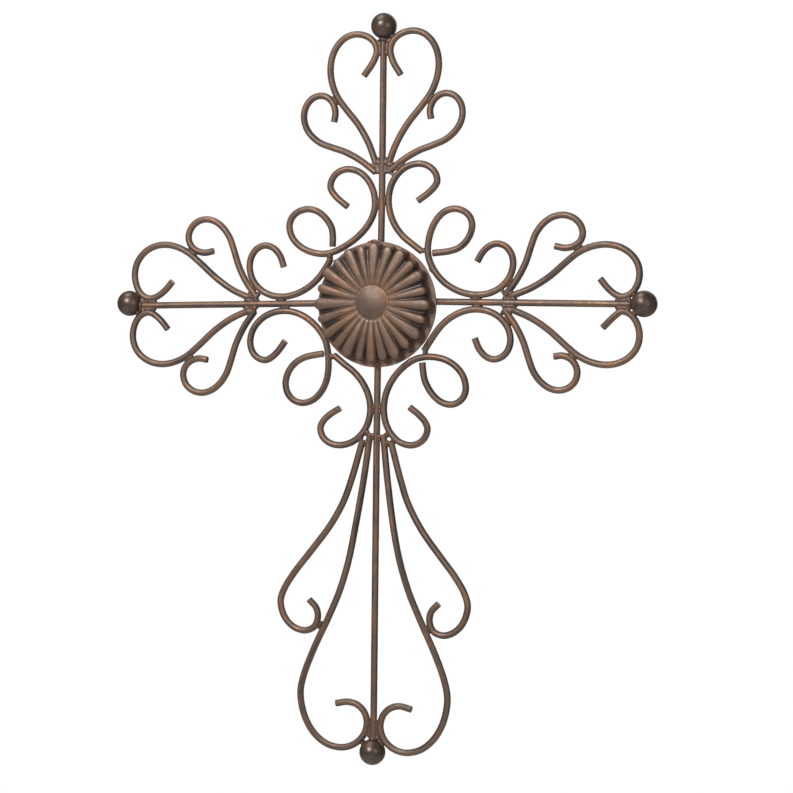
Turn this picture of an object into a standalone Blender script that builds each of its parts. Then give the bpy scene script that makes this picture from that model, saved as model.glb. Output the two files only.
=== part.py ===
"""Wall cross of scrolled round steel rod, with a stamped petal medallion and four ball finials.

The front faces -Y, the top is +Z, and the origin is where the cross hangs, on the back of its
upright. All sizes are in metres. The pieces are laid out from the middle of the medallion and
hang from one empty there. A station is (along, across, heading): along runs out an arm, across
runs away from that arm's own bar, and the heading is the rod's direction in degrees there. The
scrolls are laid out inward from the ball of their arm, so they keep to it, and the corner rods
inward from the roots of the scrolls.
"""

import math

import bmesh
import bpy
from mathutils import Vector
from mathutils.geometry import interpolate_bezier

# Rod stock, and the gap kept where two pieces are welded
ROD_DIAMETER = 0.0055
WELD_GAP = 0.0003
ROD_RADIUS = ROD_DIAMETER / 2
ROD_PITCH = ROD_DIAMETER + WELD_GAP
BEND_SAG = 0.00055
NEAR_STRAIGHT = 0.05
ROD_BEVEL_STEPS = 2

# Reach of each arm, from the middle of the medallion to the middle of its ball
TOP_REACH = 0.2251
LEFT_REACH = 0.2200
RIGHT_REACH = 0.2250
FOOT_REACH = 0.3647

# Upright: it leans a little, and jogs sideways behind the medallion
UPRIGHT_SHIFT = 0.0030
UPRIGHT_LEAN = 0.0115
UPRIGHT_JOG = 0.0012
UPRIGHT_JOG_LENGTH = 0.050
UPRIGHT_STEPS = 9

# Half bars of the crosspiece: height at the upright and at the ball
LEFT_BAR_HEIGHTS = (0.0006, 0.0004)
RIGHT_BAR_HEIGHTS = (0.0020, -0.0032)

# Ball finials, and how far off its bar's line each was welded
BALL_RADIUS = 0.0107
BALL_SEGMENTS = 12
BALL_RINGS = 8
BALL_DRIFT = {"top": 0.0002, "left": 0.0020, "right": 0.0004, "foot": -0.0008}

# Heart scrolls of the top and side arms: inward from the ball, across, heading
HEART_ROOT = (0.1107, 17)
HEART_FLARE = (0.0663, 0.0331, 44)
HEART_SHOULDER = (0.0332, 0.0474)
HEART_TIP = (0.0058, 0.0247)
HEART_SEAT = 0.0200
HEART_END = (0.0376, 0.0179)

# Side curls, which rest against the flare of the hearts, laid out as the hearts are
CURL_ROOT = (0.1177, 49)
CURL_WAIST = (0.0968, 0.0449, 76)
CURL_SHOULDER = (0.0713, 0.0699)
CURL_TIP = (0.0551, 0.0554)
CURL_END = (0.0755, 0.0438, -200)

# Long scrolls of the foot: root out from the middle, neck as a share of the way to the flare,
# and the rest inward from the ball
FOOT_ROOT = (0.1068, 5)
FOOT_NECK = {"left": (0.506, 0.0178, 9), "right": (0.506, 0.0158, 9)}
FOOT_FLARE = (0.1093, 0.0401, 27)
FOOT_SHOULDER = (0.0469, 0.0648)
FOOT_TIP = (0.0017, 0.0292)
FOOT_SEAT = 0.0228
FOOT_TURN = (0.0392, 0.0225)
FOOT_END = (0.0377, 0.0331, -282)

# Spurs that curl outside the long scrolls, laid out as those are
SPUR_ROOT = (0.1125, 0.0125, 15)
SPUR_NECK = (0.5385, 0.0280, 24)
SPUR_FLARE = (0.1614, 0.0563, 41)
SPUR_SHOULDER = (0.1213, 0.0817)
SPUR_TIP = (0.0967, 0.0602)
SPUR_END = (0.1222, 0.0568, -240)

# How each scroll came out when bent by hand: slide out along its arm, stretch, and spread, then
# how far its end runs on inward and outward, and how much less than planned it turns
HANDWORK = {
    "heart_top_left": (0.0, 1.0, 0.967, 0.0024, -0.0007, 50),
    "heart_top_right": (0.0, 1.01, 1.005, 0.0030, -0.0030, 52),
    "heart_left_upper": (0.0033, 0.98, 1.075, 0.0034, 0.0010, 38),
    "heart_left_lower": (0.0044, 0.988, 1.040, 0.0006, 0.0015, 36),
    "heart_right_upper": (0.0026, 0.995, 0.99, 0.0005, 0.0020, 36),
    "heart_right_lower": (0.0022, 0.998, 1.02, -0.0017, 0.0008, 44),
    "curl_top_left": (-0.0009, 1.02, 0.985, 0.0012, -0.0008, 0),
    "curl_top_right": (-0.0006, 0.99, 0.975, 0.0, -0.0014, 0),
    "curl_left_upper": (0.0028, 0.977, 1.015, 0.0025, 0.0, 0),
    "curl_left_lower": (0.0045, 1.03, 1.049, 0.0009, 0.0, 0),
    "curl_right_upper": (0.0030, 1.03, 1.005, 0.0020, 0.0014, 0),
    "curl_right_lower": (0.0022, 0.97, 0.99, -0.0005, -0.0010, 0),
    "foot_scroll_left": (0.0, 0.996, 0.99, 0.0, 0.0, 0),
    "foot_scroll_right": (0.0012, 1.0, 0.972, -0.0008, 0.0, 0),
    "foot_spur_left": (0.0, 0.996, 1.014, 0.0, 0.0, 0),
    "foot_spur_right": (0.0006, 0.999, 0.968, 0.0, -0.0006, 0),
}

# Corner rods between the arms: a looped rod, which ends square against its own side, and a
# corner curl, which ends square against the other side of it. Both start in a hook, laid out
# out from the arm's bar and inward from the root of the arm's scrolls, and pass the rim
HOOK_END = (0.0319, 0.0302)
HOOK_SIDE = (0.0462, 0.0150)
HOOK_TOP = (0.0306, 0.0013)
HOOK_SEAT = 0.0304
PASSING_ANGLE = 59
CORNER_HEADING = -28
CORNER_DRIFT = 0.0013
THROUGH_HEADING = -8
BUTT_GAP = 0.0011

# How each hook was bent: slide out along its arm, spread, how far off the rim the rod passes,
# how far its end runs on outward and inward, and the heading it starts on
HOOK_BENDS = {
    "loop_upper_right": (-0.0001, 1.02, -0.0018, 0.0, 0.0014, 22),
    "loop_upper_left": (-0.0040, 0.97, 0.0016, -0.0013, 0.0016, 35),
    "loop_lower_left": (0.0048, 1.0, 0.0008, -0.0012, 0.0023, 33),
    "loop_lower_right": (0.0053, 0.935, 0.0022, -0.0020, 0.0018, 33),
    "corner_curl_upper_right": (-0.0018, 1.03, -0.0008, -0.0017, 0.0012, 32),
    "corner_curl_upper_left": (0.0073, 1.05, 0.0016, -0.0029, 0.0016, 12),
    "corner_curl_lower_left": (0.0048, 1.075, 0.0034, -0.0015, 0.0012, 25),
    "corner_curl_lower_right": (-0.0004, 0.985, 0.0006, -0.0024, 0.0012, 17),
}

# Eye of each looped rod, with the arm that the rod starts on: its low point, its side and its
# top, its waist on the way back, and the place and heading of its square end
EYES = {
    "upper_right": ("right", (0.0415, 0.0402), (0.0749, 0.0622), (0.0620, 0.0776),
                    (0.0435, 0.0668, 238), (0.0390, 266)),
    "upper_left": ("top", (0.0490, 0.0404), (0.0806, 0.0640), (0.0645, 0.0773),
                   (0.0437, 0.0622, 243), (0.0422, 272)),
    "lower_left": ("left", (0.0525, 0.0430), (0.0815, 0.0650), (0.0655, 0.0805),
                   (0.0448, 0.0657, 248), (0.0412, 264)),
    "lower_right": ("foot", (0.0455, 0.0446), (0.0758, 0.0695), (0.0625, 0.0828),
                    (0.0415, 0.0655, 245), (0.0383, 265)),
}

# Stamped medallion: a flat rim, and a raised rose of petals round a plain boss
MEDALLION_SHIFT = 0.0015
RIM_RADIUS = 0.0512
SHEET_THICKNESS = 0.0012
ROSE_RADIUS = 0.0494
ROSE_RISE = 0.0118
BOSS_RADIUS = 0.0136
BOSS_CROWN = 0.0010
BOSS_GROOVE = 0.0022
BOSS_DOME = (0.65, 0.55)
RIM_DRIFT = (0.0006, -0.0011)
PETAL_PAIRS = 12
PETAL_TURN = -2
PETAL_GROOVE = 0.0022
PETAL_NOTCH = 0.0024
# Rings of the petals: shares of the rose's radius and rise, then of groove and of notch
PETAL_RINGS = (
    (0.60, 1.0, 1.0, 0.0),
    (0.93, 0.93, 1.0, 0.5),
    (0.985, 0.62, 0.6, 1.0),
    (1.0, 0.0, 0.0, 1.0),
)
# Across one large and one small petal: angle in degrees, share of groove, share of notch
PETAL_CUTS = (
    (0.0, 0.0, 0.0),
    (7.0, 0.15, 0.2),
    (10.0, 1.0, 1.0),
    (15.0, 0.2, 0.6),
    (20.0, 1.0, 1.0),
    (23.0, 0.15, 0.2),
)

# Where the cross hangs: under the weld of the top hearts, at the upright's back
HANG_HEIGHT = TOP_REACH - HEART_SEAT

# Finish: aged brown steel, darker on the balls
ROD_COLOUR = (0.19, 0.11, 0.075, 1.0)
BALL_COLOUR = (0.13, 0.08, 0.06, 1.0)
MEDALLION_COLOUR = (0.21, 0.115, 0.07, 1.0)
STEEL_SHEEN = {"Metallic": 0.6, "Roughness": 0.42}


def clear_scene():
    for thing in list(bpy.data.objects):
        bpy.data.objects.remove(thing, do_unlink=True)


def upright_side(height):
    """Sideways place of the upright's middle line at a height over the medallion's middle."""
    jog = UPRIGHT_JOG * math.tanh(height / UPRIGHT_JOG_LENGTH)
    return UPRIGHT_SHIFT + UPRIGHT_LEAN * height + jog


def bar_height(side):
    """Height of a half bar's middle line at a sideways place."""
    inner, outer = LEFT_BAR_HEIGHTS if side < 0 else RIGHT_BAR_HEIGHTS
    reach = LEFT_REACH if side < 0 else RIGHT_REACH
    return inner + (outer - inner) * abs(side) / reach


def on_arm(arm, along, across):
    """(x, z) of a point that lies along an arm, and across from its bar towards +X or +Z."""
    if arm == "top":
        return upright_side(along) + across, along
    if arm == "foot":
        return upright_side(-along) + across, -along
    if arm == "left":
        return -along, bar_height(-along) + across
    return along, bar_height(along) + across


def in_quarter(side, height, hand_x, hand_z):
    """(x, z) of a point in a quarter, measured from the bars that bound that quarter."""
    z = hand_z * height + bar_height(hand_x * side)
    return hand_x * side + upright_side(z), z


def bend(start, end):
    """Points of a smooth bend from one station to the next, both ends included."""
    turn = math.radians(abs(end[2] - start[2]))
    leave = Vector((math.cos(math.radians(start[2])), math.sin(math.radians(start[2]))))
    arrive = Vector((math.cos(math.radians(end[2])), math.sin(math.radians(end[2]))))
    step = Vector(end[:2]) - Vector(start[:2])
    first = second = step.length / 3
    spread = leave.x * arrive.y - leave.y * arrive.x
    if abs(spread) > NEAR_STRAIGHT:
        before = (step.x * arrive.y - step.y * arrive.x) / spread
        after = (leave.x * step.y - leave.y * step.x) / spread
        if before > 0 and after > 0:
            fullness = 4 / 3 * math.tan(turn / 4) / math.tan(turn / 2)
            first, second = before * fullness, after * fullness
    count = max(2, math.ceil(math.sqrt(step.length * turn / (8 * BEND_SAG))) + 1)
    return interpolate_bezier(
        Vector(start[:2]),
        Vector(start[:2]) + leave * first,
        Vector(end[:2]) - arrive * second,
        Vector(end[:2]),
        count,
    )


def route(stations):
    """Points along a chain of stations."""
    points = [Vector(stations[0][:2])]
    for start, end in zip(stations, stations[1:]):
        points.extend(bend(start, end)[1:])
    return points


def arm_reach(arm):
    return {
        "top": TOP_REACH,
        "left": LEFT_REACH,
        "right": RIGHT_REACH,
        "foot": FOOT_REACH,
    }[arm]


def arm_root(arm):
    """How far out an arm its outermost root of a scroll is welded."""
    return SPUR_ROOT[0] if arm == "foot" else arm_reach(arm) - HEART_ROOT[0]


def heart_stations(reach):
    return [
        (reach - HEART_ROOT[0], ROD_PITCH, HEART_ROOT[1]),
        (reach - HEART_FLARE[0], *HEART_FLARE[1:]),
        (reach - HEART_SHOULDER[0], HEART_SHOULDER[1], 0),
        (reach - HEART_TIP[0], HEART_TIP[1], -90),
        (reach - HEART_SEAT, ROD_PITCH, -180),
        (reach - HEART_END[0], HEART_END[1], -270),
    ]


def curl_stations(reach):
    return [
        (reach - CURL_ROOT[0], ROD_PITCH, CURL_ROOT[1]),
        (reach - CURL_WAIST[0], *CURL_WAIST[1:]),
        (reach - CURL_SHOULDER[0], CURL_SHOULDER[1], 0),
        (reach - CURL_TIP[0], CURL_TIP[1], -90),
        (reach - CURL_END[0], *CURL_END[1:]),
    ]


def neck_station(root, neck, flare):
    """A station a share of the way from a long scroll's root to its flare."""
    return (root + neck[0] * (flare - root), *neck[1:])


def foot_stations(reach, side):
    flare = reach - FOOT_FLARE[0]
    return [
        (FOOT_ROOT[0], ROD_PITCH, FOOT_ROOT[1]),
        neck_station(FOOT_ROOT[0], FOOT_NECK[side], flare),
        (flare, *FOOT_FLARE[1:]),
        (reach - FOOT_SHOULDER[0], FOOT_SHOULDER[1], 0),
        (reach - FOOT_TIP[0], FOOT_TIP[1], -90),
        (reach - FOOT_SEAT, ROD_PITCH, -180),
        (reach - FOOT_TURN[0], FOOT_TURN[1], -270),
        (reach - FOOT_END[0], *FOOT_END[1:]),
    ]


def spur_stations(reach, _side):
    flare = reach - SPUR_FLARE[0]
    return [
        SPUR_ROOT,
        neck_station(SPUR_ROOT[0], SPUR_NECK, flare),
        (flare, *SPUR_FLARE[1:]),
        (reach - SPUR_SHOULDER[0], SPUR_SHOULDER[1], 0),
        (reach - SPUR_TIP[0], SPUR_TIP[1], -90),
        (reach - SPUR_END[0], *SPUR_END[1:]),
    ]


def bent_by_hand(stations, name):
    """The stations of one scroll, slid, stretched and spread from its root as it was bent."""
    slide, stretch, spread, end_in, end_out, less_turn = HANDWORK[name]
    root, base, _ = stations[0]
    bent = [
        (root + slide + (along - root) * stretch, base + (across - base) * spread, heading)
        for along, across, heading in stations
    ]
    along, across, heading = bent[-1]
    return [*bent[:-1], (along - end_in, across + end_out, heading + less_turn)]


def hook_stations(name, arm):
    """Stations from the end of a corner rod's hook to where it passes the medallion's rim."""
    slide, spread, off_rim, end_out, end_in, heading = HOOK_BENDS[name]
    root = arm_root(arm) + slide
    passing = RIM_RADIUS + WELD_GAP + ROD_RADIUS + off_rim
    angle = math.radians(PASSING_ANGLE)
    end, side, top = (
        (ROD_PITCH + (out - ROD_PITCH) * spread, root - inward)
        for out, inward in (HOOK_END, HOOK_SIDE, HOOK_TOP)
    )
    return [
        (end[0] + end_out, end[1] - end_in, heading),
        (*side, 90),
        (*top, 180),
        (ROD_PITCH, root - HOOK_SEAT, 270),
        (passing * math.cos(angle), passing * math.sin(angle), 270 + PASSING_ANGLE),
    ]


def butt_reach(heading):
    """How far a square-cut end that comes in at a heading stays off the through rod's line."""
    lean = math.radians(heading - THROUGH_HEADING)
    return ROD_RADIUS * (1 + abs(math.cos(lean))) + BUTT_GAP


def height_at(points, side):
    """Height of a looped rod where it runs out past a sideways place, near its low point."""
    for start, end in zip(points, points[1:]):
        if start.x <= side <= end.x:
            return start.y + (end.y - start.y) * (side - start.x) / (end.x - start.x)
    return points[-1].y


def loop_stations(quarter):
    """Stations of a looped rod: its hook, past the rim, round its eye and back to its side."""
    arm, low, side, top, waist, (meeting, heading) = EYES[quarter]
    start = hook_stations("loop_" + quarter, arm) + [(*low, 360)]
    passing = height_at(bend(start[-2], start[-1]), meeting)
    return start + [
        (*side, 450),
        (*top, 540),
        (*waist[:2], 360 + waist[2]),
        (meeting, passing + butt_reach(heading), 360 + heading),
    ]


def corner_stations(quarter, arm):
    """Stations of a corner curl, from its hook to the looped rod's side."""
    loop_arm, low, *_, (meeting, _) = EYES[quarter]
    loop_pass = hook_stations("loop_" + quarter, loop_arm)[-1]
    passing = height_at(bend(loop_pass, (*low, 360)), meeting)
    reach = passing - butt_reach(90 - CORNER_HEADING)
    start = hook_stations("corner_curl_" + quarter, arm)
    return start + [(reach, meeting + CORNER_DRIFT, 360 + CORNER_HEADING)]


def steel(name, colour):
    """A brown aged steel finish of its own for one piece."""
    finish = bpy.data.materials.new(name + "_steel")
    finish.use_nodes = True
    shader = finish.node_tree.nodes["Principled BSDF"]
    shader.inputs["Base Color"].default_value = colour
    for setting, share in STEEL_SHEEN.items():
        shader.inputs[setting].default_value = share
    finish.diffuse_color = colour
    return finish


def place(piece, collection, middle, finish):
    """Puts a piece in its collection, under the empty at the medallion's middle."""
    for home in list(piece.users_collection):
        home.objects.unlink(piece)
    collection.objects.link(piece)
    piece.parent = middle
    piece.data.materials.append(finish)


def add_rod(name, points, collection, middle):
    """A round rod with square-cut ends along a list of (x, y, z) points."""
    shape = bpy.data.curves.new(name, "CURVE")
    shape.dimensions = "3D"
    shape.bevel_depth = ROD_RADIUS
    shape.bevel_resolution = ROD_BEVEL_STEPS
    shape.use_fill_caps = True
    spline = shape.splines.new("POLY")
    spline.points.add(len(points) - 1)
    for knot, point in zip(spline.points, points):
        knot.co = (*point, 1.0)
    spline.use_smooth = True
    rod = bpy.data.objects.new(name, shape)
    place(rod, collection, middle, steel(name, ROD_COLOUR))


def add_upright(collection, middle):
    top = TOP_REACH - BALL_RADIUS - WELD_GAP
    foot = -(FOOT_REACH - BALL_RADIUS - WELD_GAP)
    heights = [top + (foot - top) * step / UPRIGHT_STEPS for step in range(UPRIGHT_STEPS + 1)]
    add_rod("upright", [(upright_side(z), 0.0, z) for z in heights], collection, middle)


def add_half_bar(name, hand, reach, collection, middle):
    """One half of the crosspiece, butted against the side of the upright."""
    inner = upright_side(bar_height(0.0)) + hand * (ROD_RADIUS + WELD_GAP)
    outer = hand * (reach - BALL_RADIUS - WELD_GAP)
    ends = [(x, 0.0, bar_height(hand * abs(x))) for x in (inner, outer)]
    add_rod(name, ends, collection, middle)


def add_ball(arm, collection, middle):
    """A solid ball on the end of an arm."""
    x, z = on_arm(arm, arm_reach(arm), BALL_DRIFT[arm])
    bpy.ops.mesh.primitive_uv_sphere_add(
        segments=BALL_SEGMENTS, ring_count=BALL_RINGS, radius=BALL_RADIUS, location=(x, 0.0, z)
    )
    ball = bpy.context.object
    ball.name = ball.data.name = "finial_" + arm
    ball.data.shade_smooth()
    place(ball, collection, middle, steel(ball.name, BALL_COLOUR))


def add_arm_scroll(name, arm, hand, stations, collection, middle):
    """A scroll beside one arm's bar, on the hand that points to +X or +Z or the other one."""
    points = route(bent_by_hand(stations, name))
    places = [on_arm(arm, point.x, hand * point.y) for point in points]
    add_rod(name, [(x, 0.0, z) for x, z in places], collection, middle)


def add_corner(quarter, collection, middle):
    """The looped rod and the corner curl of one quarter, which meet near the medallion's rim."""
    bar, hand_x = ("right", 1) if quarter.endswith("right") else ("left", -1)
    upright, hand_z = ("top", 1) if quarter.startswith("upper") else ("foot", -1)
    arm = EYES[quarter][0]
    other = upright if arm == bar else bar
    for name, stations, home in (
        ("loop", loop_stations(quarter), arm),
        ("corner_curl", corner_stations(quarter, other), other),
    ):
        points = route(stations)
        sides = [(point.x, point.y) if home == upright else (point.y, point.x) for point in points]
        places = [in_quarter(side, height, hand_x, hand_z) for side, height in sides]
        add_rod(f"{name}_{quarter}", [(x, 0.0, z) for x, z in places], collection, middle)


def rose_rings():
    """Rings of the medallion's front: radius, height, and shares of groove, notch and drift."""
    dome_radius, dome_height = BOSS_DOME
    return [
        (0.0, ROSE_RISE + BOSS_CROWN, 0.0, 0.0, 0.0),
        (dome_radius * BOSS_RADIUS, ROSE_RISE + dome_height * BOSS_CROWN, 0.0, 0.0, 0.0),
        (BOSS_RADIUS, ROSE_RISE - BOSS_GROOVE, 0.0, 0.0, 0.0),
        *(
            (radius * ROSE_RADIUS, rise * ROSE_RISE, groove, notch, 0.0)
            for radius, rise, groove, notch in PETAL_RINGS
        ),
        (RIM_RADIUS, 0.0, 0.0, 0.0, 1.0),
    ]


def press_rose(form, rings):
    """Moves the points of a flat spun disc to the stamped petals, boss and rim."""
    steps = PETAL_PAIRS * len(PETAL_CUTS)
    for point in form.verts:
        reach = math.hypot(point.co.x, point.co.z)
        ring = min(rings, key=lambda sizes: abs(sizes[0] - reach))
        radius, height, groove, notch, drift = ring
        step = round(math.atan2(point.co.z, point.co.x) / math.tau * steps) % steps
        pair, cut = divmod(step, len(PETAL_CUTS))
        turn, groove_share, notch_share = PETAL_CUTS[cut]
        angle = math.radians(PETAL_TURN + turn) + pair * math.tau / PETAL_PAIRS
        radius -= PETAL_NOTCH * notch * notch_share
        height -= PETAL_GROOVE * groove * groove_share
        point.co = (
            radius * math.cos(angle) + RIM_DRIFT[0] * drift,
            -height,
            radius * math.sin(angle) + RIM_DRIFT[1] * drift,
        )


def add_medallion(collection, middle):
    """A stamped sheet medallion, hollow behind, whose rim lies on the front of the bars."""
    rings = rose_rings()
    form = bmesh.new()
    knots = [form.verts.new((ring[0], 0.0, 0.0)) for ring in rings]
    edges = [form.edges.new(pair) for pair in zip(knots, knots[1:])]
    bmesh.ops.spin(
        form,
        geom=knots + edges,
        cent=(0.0, 0.0, 0.0),
        axis=(0.0, 1.0, 0.0),
        angle=math.tau,
        steps=PETAL_PAIRS * len(PETAL_CUTS),
    )
    bmesh.ops.remove_doubles(form, verts=form.verts, dist=1e-6)
    press_rose(form, rings)
    form.normal_update()
    if sum(face.normal.y for face in form.faces) > 0:
        bmesh.ops.reverse_faces(form, faces=form.faces)
    sheet = bpy.data.meshes.new("medallion")
    form.to_mesh(sheet)
    form.free()
    sheet.shade_smooth()
    medallion = bpy.data.objects.new("medallion", sheet)
    wall = medallion.modifiers.new("sheet", "SOLIDIFY")
    wall.thickness = SHEET_THICKNESS
    wall.offset = -1
    wall.use_even_offset = True
    medallion.location = (MEDALLION_SHIFT, -(ROD_RADIUS + WELD_GAP + SHEET_THICKNESS), 0.0)
    place(medallion, collection, middle, steel("medallion", MEDALLION_COLOUR))


def add_side_scrolls(collection, middle):
    """The hearts and side curls of the top, left and right arms."""
    for arm, sides in (
        ("top", (("left", -1), ("right", 1))),
        ("left", (("upper", 1), ("lower", -1))),
        ("right", (("upper", 1), ("lower", -1))),
    ):
        for side, hand in sides:
            for kind, stations in (("heart", heart_stations), ("curl", curl_stations)):
                bends = stations(arm_reach(arm))
                add_arm_scroll(f"{kind}_{arm}_{side}", arm, hand, bends, collection, middle)


def add_foot_scrolls(collection, middle):
    for side, hand in (("left", -1), ("right", 1)):
        for kind, stations in (("scroll", foot_stations), ("spur", spur_stations)):
            bends = stations(FOOT_REACH, side)
            add_arm_scroll(f"foot_{kind}_{side}", "foot", hand, bends, collection, middle)


def main():
    clear_scene()
    collection = bpy.data.collections.new("wall_cross")
    bpy.context.scene.collection.children.link(collection)
    middle = bpy.data.objects.new("medallion_middle", None)
    middle.location = (-upright_side(HANG_HEIGHT), -ROD_RADIUS, -HANG_HEIGHT)
    collection.objects.link(middle)
    add_upright(collection, middle)
    add_half_bar("bar_left", -1, LEFT_REACH, collection, middle)
    add_half_bar("bar_right", 1, RIGHT_REACH, collection, middle)
    for arm in BALL_DRIFT:
        add_ball(arm, collection, middle)
    add_side_scrolls(collection, middle)
    for quarter in EYES:
        add_corner(quarter, collection, middle)
    add_foot_scrolls(collection, middle)
    add_medallion(collection, middle)


main()
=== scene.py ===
"""Dressed model of a wall cross of scrolled steel rod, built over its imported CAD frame.

Every rod is drawn again as a round bent rod along the middle line of its CAD node. The balls are
pitted solid balls, the medallion is a stamped sheet rose, and weld beads sit where the pieces
touch. All sizes are in metres, in the frame of the CAD: +Z up, and the front faces -Y.
"""

from __future__ import annotations

import logging
import math
import random
from collections.abc import Iterable, Iterator, Sequence
from contextlib import contextmanager
from dataclasses import dataclass, field
from enum import Enum

import bmesh
import bpy
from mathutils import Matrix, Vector, noise
from mathutils.kdtree import KDTree

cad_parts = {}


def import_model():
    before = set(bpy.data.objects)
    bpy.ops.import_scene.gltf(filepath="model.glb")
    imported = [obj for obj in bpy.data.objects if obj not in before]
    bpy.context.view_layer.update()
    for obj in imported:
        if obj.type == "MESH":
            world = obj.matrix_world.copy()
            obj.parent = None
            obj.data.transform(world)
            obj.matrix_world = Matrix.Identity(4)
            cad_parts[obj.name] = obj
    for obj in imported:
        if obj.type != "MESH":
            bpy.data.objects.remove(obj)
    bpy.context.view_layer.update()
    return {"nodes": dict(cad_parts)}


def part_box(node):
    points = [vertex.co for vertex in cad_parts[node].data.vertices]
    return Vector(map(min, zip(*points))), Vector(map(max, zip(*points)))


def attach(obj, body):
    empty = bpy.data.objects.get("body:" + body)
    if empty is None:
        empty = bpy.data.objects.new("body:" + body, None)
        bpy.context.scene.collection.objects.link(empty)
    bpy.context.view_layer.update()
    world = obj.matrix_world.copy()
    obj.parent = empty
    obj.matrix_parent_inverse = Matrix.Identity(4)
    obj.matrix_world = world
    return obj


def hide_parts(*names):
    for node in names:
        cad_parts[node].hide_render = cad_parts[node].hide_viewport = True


LOG = logging.getLogger("wall_cross")
MILLI = 0.001
FRONT = Vector((0.0, -1.0, 0.0))
ARMS = ("top", "left", "right", "foot")
SAME_PLACE = 1e-6

Colour = tuple[float, float, float, float]


class Slot(Enum):
    """Names of the material slots."""

    ROD = "rod_steel"
    BALL = "ball_steel"
    MEDALLION = "medallion_steel"


class Wrap(Enum):
    """What a finish measures its pattern in."""

    OBJECT = "Object"
    ROD = "rod_flow"


# Small helpers for modelling with operators


def select_only(piece: bpy.types.Object) -> None:
    """Selects one object and makes it active.

    Args:
        piece: The object to work on.
    """
    bpy.ops.object.select_all(action="DESELECT")
    piece.select_set(True)
    bpy.context.view_layer.objects.active = piece


@contextmanager
def editing(piece: bpy.types.Object) -> Iterator[None]:
    """Opens an object's mesh for editing, with all of it selected.

    Args:
        piece: The object to edit.

    Yields:
        Nothing. The mesh is closed again afterwards.
    """
    select_only(piece)
    bpy.ops.object.mode_set(mode="EDIT")
    bpy.ops.mesh.select_all(action="SELECT")
    try:
        yield
    finally:
        bpy.ops.object.mode_set(mode="OBJECT")


def apply_modifier(piece: bpy.types.Object, kind: str, **settings: object) -> None:
    """Adds a modifier to an object, sets it and applies it.

    Args:
        piece: The object to change.
        kind: The type of modifier.
        settings: Values of the modifier's own properties.
    """
    select_only(piece)
    modifier = piece.modifiers.new(kind.lower(), kind)
    for name, value in settings.items():
        setattr(modifier, name, value)
    bpy.ops.object.modifier_apply(modifier=modifier.name)


def roughen(piece: bpy.types.Object, grain: float, depth: float) -> None:
    """Displaces a surface by smooth lumps.

    Args:
        piece: The object to change.
        grain: Size of the lumps in metres.
        depth: Full height of the lumps in metres.
    """
    texture = bpy.data.textures.new(f"{piece.name}_{grain}", "CLOUDS")
    texture.noise_scale = grain
    texture.noise_depth = 2
    apply_modifier(piece, "DISPLACE", texture=texture, strength=depth, texture_coords="LOCAL")


def ball_place(arm: str) -> tuple[Vector, float]:
    """Middle and radius of the ball at the end of an arm."""
    low, high = (Vector(corner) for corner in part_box("finial_" + arm))
    return (low + high) / 2, (high.z - low.z) / 2


def smooth_step(low: float, high: float, value: float) -> float:
    """Share from 0 to 1 of the way from low to high, eased at both ends."""
    share = min(1.0, max(0.0, (value - low) / (high - low)))
    return share * share * (3.0 - 2.0 * share)


# Finishes


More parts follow.
